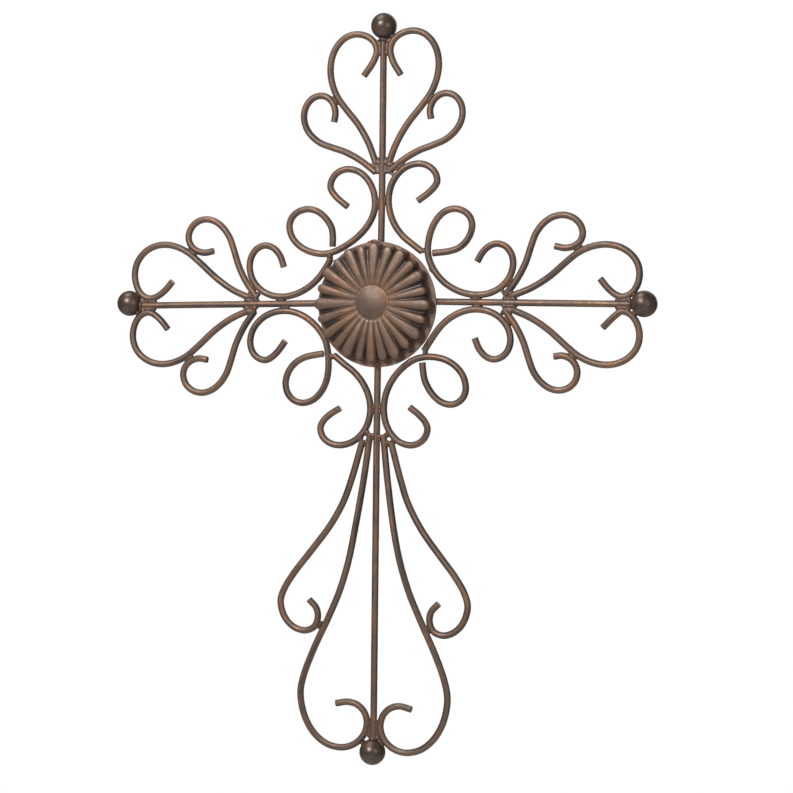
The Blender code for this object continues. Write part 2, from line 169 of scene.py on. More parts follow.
class FinishBench:
    """Lays out the shader nodes of one finish."""

    def __init__(self, name: str) -> None:
        """Starts a material.

        Args:
            name: Name of the material.
        """
        self.material = bpy.data.materials.new(name)
        self.material.use_nodes = True
        self.tree = self.material.node_tree
        self.shader = self.tree.nodes["Principled BSDF"]

    def node(self, kind: str, **settings: object) -> bpy.types.Node:
        """Adds a node.

        Args:
            kind: Type of the node, without its ShaderNode prefix.
            settings: Values of the node's own properties.

        Returns:
            The node.
        """
        node = self.tree.nodes.new("ShaderNode" + kind)
        for name, value in settings.items():
            setattr(node, name, value)
        return node

    def feed(self, node: bpy.types.Node, values: dict[str | int, object]) -> None:
        """Links outputs to a node's inputs, or sets them to plain values.

        Args:
            node: The node.
            values: An output socket, or a number, colour or vector, for each input.
        """
        for name, value in values.items():
            if isinstance(value, bpy.types.NodeSocket):
                self.tree.links.new(value, node.inputs[name])
            else:
                node.inputs[name].default_value = value

    def place(self, wrap: Wrap, stretch: Sequence[float] = (1.0, 1.0, 1.0)) -> bpy.types.NodeSocket:
        """Coordinates of the surface in metres.

        Args:
            wrap: Whether they are the object's own or those along a rod.
            stretch: How much each of them counts.

        Returns:
            The vector socket.
        """
        if wrap is Wrap.OBJECT:
            vector = self.node("TexCoord").outputs["Object"]
        else:
            vector = self.node("Attribute", attribute_name=wrap.value).outputs["Vector"]
        scaled = self.node("VectorMath", operation="MULTIPLY")
        self.feed(scaled, {0: vector, 1: stretch})
        return scaled.outputs["Vector"]

    def noise(
        self, vector: bpy.types.NodeSocket, grain: float, detail: float = 3.0, rough: float = 0.55
    ) -> bpy.types.NodeSocket:
        """Noise with lumps of a real size.

        Args:
            vector: Coordinates in metres.
            grain: Size of its lumps in metres.
            detail: How many finer layers it has.
            rough: How strong the finer layers are.

        Returns:
            A socket from 0 to 1.
        """
        cloud = self.node("TexNoise")
        self.feed(cloud, {"Vector": vector, "Scale": 1.0 / grain})
        self.feed(cloud, {"Detail": detail, "Roughness": rough})
        return cloud.outputs["Fac"]

    def ease(
        self, value: object, low: float, high: float, start: float = 0.0, end: float = 1.0
    ) -> bpy.types.NodeSocket:
        """Takes a range of values smoothly to another range.

        Args:
            value: The value socket.
            low: Value that gives start.
            high: Value that gives end.
            start: Result at low.
            end: Result at high.

        Returns:
            The result socket.
        """
        span = self.node("MapRange", interpolation_type="SMOOTHSTEP")
        self.feed(span, {"Value": value, "From Min": low, "From Max": high})
        self.feed(span, {"To Min": start, "To Max": end})
        return span.outputs["Result"]

    def product(self, first: object, second: object) -> bpy.types.NodeSocket:
        """Multiplies two values and returns the result socket."""
        times = self.node("Math", operation="MULTIPLY")
        self.feed(times, {0: first, 1: second})
        return times.outputs["Value"]

    def blend(self, share: object, low: object, high: object) -> bpy.types.NodeSocket:
        """Mixes two colours.

        Args:
            share: How much of the second colour there is.
            low: The first colour, as a socket or a colour.
            high: The second colour, as a socket or a colour.

        Returns:
            The mixed colour socket.
        """
        mix = self.node("Mix", data_type="RGBA")
        self.feed(mix, {0: share, 6: low, 7: high})
        return mix.outputs[2]

    def relief(self, height: object, depth: float, below: object = None) -> bpy.types.NodeSocket:
        """Bump of a real depth.

        Args:
            height: Height socket from 0 to 1.
            depth: Depth in metres.
            below: Normal of a coarser bump under this one.

        Returns:
            The normal socket.
        """
        bump = self.node("Bump")
        self.feed(bump, {"Height": height, "Distance": depth})
        if below is not None:
            self.feed(bump, {"Normal": below})
        return bump.outputs["Normal"]


@dataclass(frozen=True)
class AgedSteel:
    """Brown aged steel with rust rubbed through and dark patina in its streaks."""

    name: str
    wrap: Wrap
    brown: Colour = (0.112, 0.070, 0.047, 1.0)
    rust: Colour = (0.165, 0.082, 0.045, 1.0)
    patina: Colour = (0.022, 0.022, 0.024, 1.0)
    # pale is the colour of the flecks, which are partly dust and partly painted glints
    pale: Colour = (0.30, 0.25, 0.21, 1.0)
    patch_grain: float = 0.016
    rust_span: tuple[float, float] = (0.44, 0.64)
    mottle_span: tuple[float, float] = (0.48, 0.72)
    mottle_share: float = 0.40
    streak_grain: float = 0.0026
    streak_stretch: float = 0.03
    streak_span: tuple[float, float] = (0.50, 0.64)
    streak_share: float = 0.80
    fleck_grain: float = 0.0006
    dust_and_glint_span: tuple[float, float] = (0.66, 0.80)
    dust_and_glint_share: float = 0.05
    scale_grain: float = 0.0022
    scale_depth: float = 0.00006
    metal: float = 0.45
    roughness: tuple[float, float] = (0.40, 0.56)
    shine_span: tuple[float, float] = (0.3, 0.7)
    dip: str = ""
    dip_span: tuple[float, float] = (0.2, 0.9)
    dip_dark: float = 0.9
    dip_shine: float = 0.6
    break_grain: float = 0.004
    break_span: tuple[float, float] = (0.25, 0.55)
    break_least: float = 0.45

    def material(self) -> bpy.types.Material:
        """Builds the finish.

        Returns:
            The material.
        """
        bench = FinishBench(self.name)
        along = self.streak_stretch if self.wrap is Wrap.ROD else 1.0
        even = bench.place(self.wrap)
        drawn = bench.place(self.wrap, (along, 1.0, 1.0))
        patches = bench.noise(even, self.patch_grain, 4.0)
        colour = bench.blend(bench.ease(patches, *self.rust_span), self.brown, self.rust)
        mottle = bench.noise(even, self.patch_grain / 4, 4.0, 0.65)
        stained = bench.ease(mottle, *self.mottle_span, 0.0, self.mottle_share)
        colour = bench.blend(stained, colour, self.patina)
        streaks = bench.noise(drawn, self.streak_grain, 3.0, 0.6)
        dark = bench.ease(streaks, *self.streak_span, 0.0, self.streak_share)
        colour = bench.blend(dark, colour, self.patina)
        # Pale flecks, partly dust on the steel and partly painted glints
        flecks = bench.noise(even, self.fleck_grain, 2.0)
        light = bench.ease(flecks, *self.dust_and_glint_span, 0.0, self.dust_and_glint_share)
        colour = bench.blend(light, colour, self.pale)
        shine = bench.noise(even, self.patch_grain / 3, 3.0)
        rough = bench.ease(shine, *self.shine_span, *self.roughness)
        if self.dip:
            dark = self.dip_share(bench, even)
            colour = bench.blend(dark, colour, self.patina)
            rough = bench.product(rough, bench.ease(dark, 0.0, 1.0, 1.0, self.dip_shine))
        bench.feed(bench.shader, {"Base Color": colour, "Roughness": rough})
        skin = bench.noise(drawn, self.scale_grain, 3.0, 0.6)
        coarse = bench.relief(skin, self.scale_depth)
        normal = bench.relief(flecks, self.scale_depth / 4, coarse)
        bench.feed(bench.shader, {"Metallic": self.metal, "Normal": normal})
        bench.material.diffuse_color = self.brown
        return bench.material

    def dip_share(self, bench: FinishBench, place: bpy.types.NodeSocket) -> bpy.types.NodeSocket:
        """How much dark patina lies in the hollows of a stamping.

        Args:
            bench: The nodes of this finish.
            place: Coordinates in metres.

        Returns:
            The share socket.
        """
        depth = bench.node("Attribute", attribute_name=self.dip).outputs["Fac"]
        breaks = bench.noise(place, self.break_grain, 3.0, 0.6)
        broken = bench.ease(breaks, *self.break_span, self.break_least, 1.0)
        return bench.product(bench.ease(depth, *self.dip_span, 0.0, self.dip_dark), broken)


@dataclass(frozen=True)
class PaleFloor:
    """Plain pale studio floor."""

    colour: Colour = (0.86, 0.86, 0.85, 1.0)
    roughness: float = 0.8

    def material(self) -> bpy.types.Material:
        """Builds the floor's material.

        Returns:
            The material.
        """
        bench = FinishBench("pale_floor")
        bench.feed(bench.shader, {"Base Color": self.colour, "Roughness": self.roughness})
        return bench.material


# Middle lines of the rods


@dataclass(frozen=True)
class RodLine:
    """Middle line of one rod, as evenly spaced points."""

    name: str
    points: tuple[Vector, ...]
    step: float

    def tangent(self, index: int) -> Vector:
        """Direction of the line at one of its points.

        Args:
            index: Number of the point.

        Returns:
            A unit vector.
        """
        before = self.points[max(0, index - 1)]
        after = self.points[min(len(self.points) - 1, index + 1)]
        return (after - before).normalized()

    def tree(self) -> KDTree:
        """Search tree of the points."""
        tree = KDTree(len(self.points))
        for index, point in enumerate(self.points):
            tree.insert(point, index)
        tree.balance()
        return tree


@dataclass
class RodTracer:
    """Reads the middle line of a rod from the rings of corners of its CAD node."""

    step: float = 0.0013
    merge: float = 1e-5
    corners: int = 8
    cap_reach: float = 0.0034
    cap_flatness: float = 0.9999
    fineness: int = 12

    def trace(self, node: bpy.types.Object) -> RodLine:
        """Traces one rod.

        Args:
            node: The CAD node, which is left as it is.

        Returns:
            Its middle line.
        """
        form = bmesh.new()
        form.from_mesh(node.data)
        bmesh.ops.remove_doubles(form, verts=form.verts, dist=self.merge)
        form.normal_update()
        middles = self.ring_middles(node.name, self.end_ring(form))
        form.free()
        points = self.resample(self.smoothed(middles))
        return RodLine(node.name, tuple(points), self.step)

    def end_ring(self, form: bmesh.types.BMesh) -> set[bmesh.types.BMVert]:
        """Finds the corners of one flat end of the rod.

        Args:
            form: The node's merged mesh.

        Returns:
            The corners.

        Raises:
            ValueError: If no face looks like an end.
        """
        seen: set[bmesh.types.BMFace] = set()
        for face in form.faces:
            if face in seen:
                continue
            patch = self.flat_patch(face)
            seen |= patch
            ring = {corner for member in patch for corner in member.verts}
            middle = sum((corner.co for corner in ring), Vector()) / len(ring)
            reach = max((corner.co - middle).length for corner in ring)
            if len(ring) == self.corners and reach < self.cap_reach:
                return ring
        raise ValueError("a rod has no flat end")

    def flat_patch(self, face: bmesh.types.BMFace) -> set[bmesh.types.BMFace]:
        """Faces that lie in one plane with a face and join up with it.

        Args:
            face: The face to start from.

        Returns:
            The faces.
        """
        patch = {face}
        waiting = [face]
        while waiting:
            for edge in waiting.pop().edges:
                for near in edge.link_faces:
                    if near not in patch and near.normal.dot(face.normal) > self.cap_flatness:
                        patch.add(near)
                        waiting.append(near)
        return patch

    def ring_middles(self, name: str, ring: set[bmesh.types.BMVert]) -> list[Vector]:
        """Walks from one end of the rod to the other, ring by ring.

        Args:
            name: Name of the node, for the message.
            ring: Corners of the first end.

        Returns:
            The middle of each ring.

        Raises:
            ValueError: If a ring hasn't the right number of corners.
        """
        middles = []
        seen = set(ring)
        while ring:
            if len(ring) != self.corners:
                raise ValueError(f"{name} has a ring of {len(ring)} corners")
            middles.append(sum((corner.co for corner in ring), Vector()) / len(ring))
            near = {edge.other_vert(corner) for corner in ring for edge in corner.link_edges}
            ring = near - seen
            seen |= ring
        return middles

    def smoothed(self, knots: Sequence[Vector]) -> list[Vector]:
        """Draws a smooth line through knots with centripetal Catmull-Rom spans.

        Args:
            knots: Points that the line passes.

        Returns:
            Close points of the line.
        """
        ends = [2 * knots[0] - knots[1], *knots, 2 * knots[-1] - knots[-2]]
        line = []
        for a, b, c, d in zip(ends, ends[1:], ends[2:], ends[3:]):
            t0, t1 = 0.0, (b - a).length ** 0.5
            t2 = t1 + (c - b).length ** 0.5
            t3 = t2 + (d - c).length ** 0.5
            for part in range(self.fineness):
                t = t1 + (t2 - t1) * part / self.fineness
                ab = a * ((t1 - t) / (t1 - t0)) + b * ((t - t0) / (t1 - t0))
                bc = b * ((t2 - t) / (t2 - t1)) + c * ((t - t1) / (t2 - t1))
                cd = c * ((t3 - t) / (t3 - t2)) + d * ((t - t2) / (t3 - t2))
                abc = ab * ((t2 - t) / (t2 - t0)) + bc * ((t - t0) / (t2 - t0))
                bcd = bc * ((t3 - t) / (t3 - t1)) + cd * ((t - t1) / (t3 - t1))
                line.append(abc * ((t2 - t) / (t2 - t1)) + bcd * ((t - t1) / (t2 - t1)))
        return [*line, knots[-1].copy()]

    def resample(self, line: Sequence[Vector]) -> list[Vector]:
        """Spaces the points of a line evenly.

        Args:
            line: Close points of the line.

        Returns:
            Points about one step apart, both ends kept.
        """
        lengths = [0.0]
        for start, end in zip(line, line[1:]):
            lengths.append(lengths[-1] + (end - start).length)
        count = max(2, round(lengths[-1] / self.step))
        points = []
        span = 0
        for number in range(count + 1):
            target = lengths[-1] * number / count
            while span < len(line) - 2 and lengths[span + 1] < target:
                span += 1
            share = (target - lengths[span]) / max(1e-9, lengths[span + 1] - lengths[span])
            points.append(line[span].lerp(line[span + 1], min(1.0, share)))
        return points


# Rods


@dataclass
class BentRod:
    """A round bent rod with square-cut, lightly worn ends."""

    line: RodLine
    finish: bpy.types.Material
    radius: float = 0.00275
    side_steps: int = 8
    end_wear: float = 0.00035
    smooth_angle: float = 50.0
    unevenness: float = 0.00012
    uneven_grain: float = 0.007
    seed: int = 0

    def build(self) -> bpy.types.Object:
        """Models the rod.

        Returns:
            The finished piece.
        """
        rod = self.swept()
        self.wear_ends(rod)
        roughen(rod, self.uneven_grain, self.unevenness)
        self.mark_flow(rod)
        select_only(rod)
        bpy.ops.object.shade_smooth_by_angle(angle=math.radians(self.smooth_angle))
        rod.data.materials.append(self.finish)
        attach(rod, "root")
        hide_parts(self.line.name)
        LOG.info("rod %s, %d faces", rod.name, len(rod.data.polygons))
        return rod

    def swept(self) -> bpy.types.Object:
        """Sweeps a round section along the line.

        Returns:
            The rod as a closed mesh.
        """
        bpy.ops.object.select_all(action="DESELECT")
        bpy.ops.curve.primitive_nurbs_path_add(location=(0.0, 0.0, 0.0))
        rod = bpy.context.object
        rod.name = self.line.name + "_rod"
        shape = rod.data
        shape.splines.clear()
        shape.dimensions = "3D"
        shape.twist_mode = "MINIMUM"
        shape.bevel_depth = self.radius
        shape.bevel_resolution = self.side_steps
        shape.use_fill_caps = True
        spline = shape.splines.new("POLY")
        spline.points.add(len(self.line.points) - 1)
        for knot, point in zip(spline.points, self.line.points):
            knot.co = (*point, 1.0)
        select_only(rod)
        bpy.ops.object.convert(target="MESH")
        with editing(rod):
            bpy.ops.mesh.remove_doubles(threshold=SAME_PLACE)
            bpy.ops.mesh.normals_make_consistent(inside=False)
        rod.data.name = rod.name
        return rod

    def wear_ends(self, rod: bpy.types.Object) -> None:
        """Rounds the edges of both cut ends a little.

        Args:
            rod: The swept rod.
        """
        with editing(rod):
            bpy.ops.mesh.select_mode(type="FACE")
            bpy.ops.mesh.select_all(action="DESELECT")
            form = bmesh.from_edit_mesh(rod.data)
            for face in form.faces:
                face.select_set(len(face.verts) > 4)
            bmesh.update_edit_mesh(rod.data)
            bpy.ops.mesh.region_to_loop()
            bpy.ops.mesh.bevel(offset=self.end_wear, segments=2, affect="EDGES")
            bpy.ops.mesh.select_mode(type="VERT")

    def mark_flow(self, rod: bpy.types.Object) -> None:
        """Stores where each point lies along and round the rod, for the finish.

        Args:
            rod: The rod.
        """
        tree = self.line.tree()
        start = random.Random(self.seed).uniform(0.0, 5.0)
        flow: list[float] = []
        for point in rod.data.vertices:
            near, index, _ = tree.find(point.co)
            aside = self.line.tangent(index).cross(FRONT)
            offset = point.co - near
            flow += (start + index * self.line.step, offset.dot(FRONT), offset.dot(aside))
        layer = rod.data.attributes.new(Wrap.ROD.value, "FLOAT_VECTOR", "POINT")
        layer.data.foreach_set("vector", flow)


# Weld beads


@dataclass(frozen=True)
class Blob:
    """One drop of weld metal."""

    place: Vector
    radius: float


@dataclass
class WeldBeads:
    """The weld metal of one area, melted together from drops."""

    name: str
    blobs: list[Blob]
    finish: bpy.types.Material
    voxel: float = 0.00040
    melting: int = 18
    softness: float = 0.6
    crust: float = 0.00009
    crust_grain: float = 0.0020
    batch: int = 80

    def build(self) -> bpy.types.Object:
        """Models the beads.

        Returns:
            The finished piece.
        """
        beads = self.joined()
        apply_modifier(beads, "REMESH", mode="VOXEL", voxel_size=self.voxel)
        apply_modifier(beads, "SMOOTH", factor=self.softness, iterations=self.melting)
        roughen(beads, self.crust_grain, self.crust)
        select_only(beads)
        bpy.ops.object.shade_smooth()
        beads.data.materials.clear()
        beads.data.materials.append(self.finish)
        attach(beads, "root")
        LOG.info("welds, %d drops, %d faces", len(self.blobs), len(beads.data.polygons))
        return beads

    def joined(self) -> bpy.types.Object:
        """All the drops as one object, made batch by batch to stay quick.

        Returns:
            The object.
        """
        batches = [
            self.drops(self.blobs[start : start + self.batch])
            for start in range(0, len(self.blobs), self.batch)
        ]
        bpy.ops.object.select_all(action="DESELECT")
        for piece in batches:
            piece.select_set(True)
        bpy.context.view_layer.objects.active = batches[0]
        if len(batches) > 1:
            bpy.ops.object.join()
        batches[0].name = batches[0].data.name = self.name
        return batches[0]

    def drops(self, blobs: Sequence[Blob]) -> bpy.types.Object:
        """One batch of drops.

        Args:
            blobs: The drops.

        Returns:
            The object.
        """
        bpy.ops.object.select_all(action="DESELECT")
        first, *rest = blobs
        bpy.ops.mesh.primitive_ico_sphere_add(
            subdivisions=2, radius=first.radius, location=first.place
        )
        piece = bpy.context.object
        select_only(piece)
        bpy.ops.object.transform_apply(location=True, rotation=True, scale=True)
        with editing(piece):
            for blob in rest:
                bpy.ops.mesh.primitive_ico_sphere_add(
                    subdivisions=2, radius=blob.radius, location=blob.place
                )
        return piece


@dataclass
class Welder:
    """Finds where pieces touch and lays drops of weld metal there."""

    lines: Sequence[RodLine]
    rod_radius: float = 0.00275
    reach: float = 0.0073
    end_reach: float = 0.0078
    fill_reach: float = 0.0096
    ball_reach: float = 0.0015
    web_reach: float = 0.0245
    web_gap: float = 0.0088
    rim_reach: float = 0.0040
    spacing: float = 0.0011
    drop: float = 0.00135
    proud: float = 0.0013
    apart: float = 0.015
    shake: float = 0.00022
    unevenness: float = 0.15
    bead_half: tuple[float, float] = (0.0030, 0.0048)
    bead_slack: float = 0.0010
    bead_taper: float = 0.35
    butt_size: float = 1.1
    fill_size: float = 1.3
    web_size: float = 1.25
    web_shares: tuple[float, ...] = (0.35, 0.5, 0.65)
    collar_size: float = 0.95
    collar_lift: float = 0.0003
    collar_room: float = 0.0004
    rim_size: float = 1.15
    rim_taper: float = 0.13
    rim_share: float = 0.45
    chance: random.Random = field(default_factory=lambda: random.Random(29))
    trees: dict[str, KDTree] = field(init=False)

    def __post_init__(self) -> None:
        """Makes the search trees of the lines."""
        self.trees = {line.name: line.tree() for line in self.lines}

    def drop_at(self, place: Vector, size: float = 1.0) -> Blob:
        """A drop of slightly uneven size and place.

        Args:
            place: Where it goes.
            size: Its size as a share of the usual one.

        Returns:
            The drop.
        """
        shake = Vector([self.chance.uniform(-1, 1) for _ in range(3)]) * self.shake
        uneven = self.chance.uniform(1 - self.unevenness, 1 + self.unevenness)
        return Blob(place + shake, self.drop * size * uneven)

    def ends(self) -> list[tuple[RodLine, Vector]]:
        """Both ends of every line, each with its line."""
        return [(line, end) for line in self.lines for end in (line.points[0], line.points[-1])]

    def seats(self) -> list[Blob]:
        """Drops along every place where two rods lie side by side.

        Returns:
            The drops.
        """
        blobs: list[Blob] = []
        for number, first in enumerate(self.lines):
            for second in self.lines[number + 1 :]:
                tree = self.trees[second.name]
                gaps = [tree.find(point)[2] for point in first.points]
                for index in self.nearest(gaps, self.reach, first.step):
                    blobs += self.bead(first, index, tree)
        return blobs

    def nearest(self, gaps: Sequence[float], reach: float, step: float) -> list[int]:
        """Points of a line that come near something, one for each place where it does.

        Args:
            gaps: How far each point is from it.
            reach: How near counts.
            step: Distance from point to point.

        Returns:
            Numbers of the points, the nearest first.
        """
        order = (index for index, gap in enumerate(gaps) if gap < reach)
        chosen: list[int] = []
        for index in sorted(order, key=gaps.__getitem__):
            if all(abs(index - kept) * step > self.apart for kept in chosen):
                chosen.append(index)
        return chosen

    def bead(self, line: RodLine, index: int, other: KDTree) -> list[Blob]:
        """A short bead in the groove between two rods, on the front and on the back.

        Args:
            line: The first rod's line.
            index: Its point that is closest to the other rod.
            other: Search tree of the other rod's line.

        Returns:
            The drops.
        """
        blobs = []
        steps = round(self.chance.uniform(*self.bead_half) / self.spacing)
        for side in (-1.0, 1.0):
            for step in range(-steps, steps + 1):
                number = index + round(step * self.spacing / line.step)
                if not 0 <= number < len(line.points):
                    continue
                near, _, gap = other.find(line.points[number])
                if gap > self.reach + self.bead_slack:
                    continue
                middle = (line.points[number] + near) / 2
                size = 1.0 - self.bead_taper * abs(step) / max(1, steps)
                blobs.append(self.drop_at(middle + Vector((0.0, side * self.proud, 0.0)), size))
        return blobs

    def butts(self) -> list[Blob]:
        """Drops that close every square-cut end that stands against another rod.

        Returns:
            The drops.
        """
        blobs: list[Blob] = []
        for line, end in self.ends():
            for other in self.lines:
                near, _, gap = self.trees[other.name].find(end)
                if other is not line and gap < self.end_reach:
                    blobs += self.bridge(end, near, self.butt_size)
        return blobs

    def root_fills(self, bars: Sequence[str]) -> list[Blob]:
        """Weld metal between each bar and the roots of the scrolls that stand on it.

        Args:
            bars: Names of the rods that are bars.

        Returns:
            The drops.
        """
        blobs: list[Blob] = []
        for bar in bars:
            feet = []
            for line, end in self.ends():
                near, _, gap = self.trees[bar].find(end)
                if line.name not in bars and gap < self.fill_reach:
                    feet.append((end, near))
            for number, (end, near) in enumerate(feet):
                for other, other_near in feet[number + 1 :]:
                    same_side = (end - near).dot(other - other_near) > 0.0
                    if same_side and (end - other).length < self.fill_reach:
                        blobs += self.patch((end, near), (other, other_near))
        return blobs

    def patch(self, first: tuple[Vector, Vector], second: tuple[Vector, Vector]) -> list[Blob]:
        """Drops that fill the area between two short lines.

        Args:
            first: Ends of the first line.
            second: Ends of the second line.

        Returns:
            The drops.
        """
        across = math.ceil((first[0] - second[0]).length / self.spacing)
        along = math.ceil((first[0] - first[1]).length / self.spacing)
        blobs = []
        for part in range(across + 1):
            start = first[0].lerp(second[0], part / across)
            end = first[1].lerp(second[1], part / across)
            places = [start.lerp(end, step / along) for step in range(along + 1)]
            blobs += [self.drop_at(place, self.fill_size) for place in places]
        return blobs

    def webs(self, middle: Vector) -> list[Blob]:
        """Weld metal in the narrow places between the rods next to a ball.

        Args:
            middle: Middle of the ball.

        Returns:
            The drops.
        """
        blobs: list[Blob] = []
        for number, first in enumerate(self.lines):
            for second in self.lines[number + 1 :]:
                for point in first.points:
                    near, _, gap = self.trees[second.name].find(point)
                    if (point - middle).length > self.web_reach or gap > self.web_gap:
                        continue
                    places = [point.lerp(near, share) for share in self.web_shares]
                    blobs += [self.drop_at(place, self.web_size) for place in places]
        return blobs

    def bridge(self, start: Vector, end: Vector, size: float) -> list[Blob]:
        """A row of drops from one place to another, on the front and on the back.

        Args:
            start: Where the row starts.
            end: Where it ends.
            size: Size of the drops as a share of the usual one.

        Returns:
            The drops.
        """
        count = max(1, round((end - start).length / self.spacing))
        places = [start.lerp(end, part / count) for part in range(count + 1)]
        return [
            self.drop_at(place + Vector((0.0, side * self.proud * 0.7, 0.0)), size)
            for place in places
            for side in (-1.0, 1.0)
        ]

    def ring(self, place: Vector, axis: Vector, radius: float, size: float) -> list[Blob]:
        """Drops in a ring round an axis.

        Args:
            place: Middle of the ring.
            axis: Direction of the axis.
            radius: Radius of the ring.
            size: Size of the drops as a share of the usual one.

        Returns:
            The drops.
        """
        aside = axis.cross(FRONT).normalized()
        count = math.ceil(math.tau * radius / self.spacing)
        return [
            self.drop_at(
                place
                + aside * (radius * math.cos(math.tau * turn / count))
                + FRONT * (radius * math.sin(math.tau * turn / count)),
                size,
            )
            for turn in range(count)
        ]

    def collars(self, middle: Vector, radius: float) -> list[Blob]:
        """Drops round every place where a rod meets a ball.

        Args:
            middle: Middle of the ball.
            radius: Radius of the ball.

        Returns:
            The drops.
        """
        blobs: list[Blob] = []
        for line in self.lines:
            near, index, gap = self.trees[line.name].find(middle)
            if gap > radius + self.rod_radius + self.ball_reach:
                continue
            axis = (near - middle).normalized()
            ends_here = index in (0, len(line.points) - 1)
            spread = self.rod_radius + self.collar_room if ends_here else self.rod_radius * 0.6
            seat = middle + axis * (radius + self.collar_lift)
            blobs += self.ring(seat, axis, spread, self.collar_size)
        return blobs

    def rim_seats(self, middle: Vector, rim_radius: float) -> list[Blob]:
        """Drops where the bars and the corner rods meet the medallion's rim.

        Args:
            middle: Middle of the rim, at the back of its sheet.
            rim_radius: Radius of the rim.

        Returns:
            The drops.
        """
        blobs: list[Blob] = []
        for line in self.lines:
            aways = [Vector((p.x - middle.x, 0.0, p.z - middle.z)) for p in line.points]
            gaps = [abs(away.length - rim_radius) for away in aways]
            for index in self.nearest(gaps, self.rim_reach, line.step):
                out = aways[index].normalized()
                along = out.cross(FRONT)
                steps = self.chance.randint(2, 3)
                for step in range(-steps, steps + 1):
                    edge = middle + out * rim_radius + along * (step * self.spacing)
                    edge.y = line.points[index].y
                    inner = edge.lerp(line.points[index], self.rim_share)
                    size = self.rim_size - self.rim_taper * abs(step)
                    blobs.append(self.drop_at(inner + FRONT * self.proud, size))
                    blobs.append(self.drop_at(inner, size))
        return blobs

    def rim_bead(self, middle: Vector, radius: float, start: float, end: float) -> list[Blob]:
        """A bead along the edge of the medallion's rim.

        Args:
            middle: Middle of the rim, at the back of its sheet.
            radius: Radius of the bead's line.
            start: Direction of its start, in degrees.
            end: Direction of its end, in degrees.

        Returns:
            The drops.
        """
        count = math.ceil(math.radians(end - start) * radius / self.spacing)
        blobs = []
        for part in range(count + 1):
            angle = math.radians(start + (end - start) * part / count)
            place = middle + Vector((radius * math.cos(angle), 0.0, radius * math.sin(angle)))
            size = 0.9 + 0.5 * math.sin(math.pi * part / count)
            blobs.append(self.drop_at(place, size))
        return blobs


# Ball finials


@dataclass
class Finial:
    """A solid ball with a lightly pitted skin."""

    arm: str
    finish: bpy.types.Material
    pit_depth: float = 0.00016
    pits: tuple[tuple[float, float], ...] = ((0.009, 1.0), (0.0022, 0.5))

    def build(self) -> bpy.types.Object:
        """Models the ball.

        Returns:
            The finished piece.
        """
        middle, radius = ball_place(self.arm)
        bpy.ops.object.select_all(action="DESELECT")
        bpy.ops.mesh.primitive_ico_sphere_add(
            subdivisions=6, radius=radius - self.pit_depth / 2, location=middle
        )
        ball = bpy.context.object
        ball.name = ball.data.name = "ball_" + self.arm
        select_only(ball)
        bpy.ops.object.transform_apply(location=True, rotation=True, scale=True)
        for grain, share in self.pits:
            roughen(ball, grain, self.pit_depth * share)
        select_only(ball)
        bpy.ops.object.shade_smooth()
        ball.data.materials.clear()
        ball.data.materials.append(self.finish)
        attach(ball, "root")
        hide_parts("finial_" + self.arm)
        LOG.info("ball %s, %d faces", ball.name, len(ball.data.polygons))
        return ball


# Medallion


@dataclass(frozen=True)
class Ridge:
    """One petal of the rose: its direction, its length, half width and height."""

    angle: float
    end: float
    half_root: float
    half_end: float
    drop: float


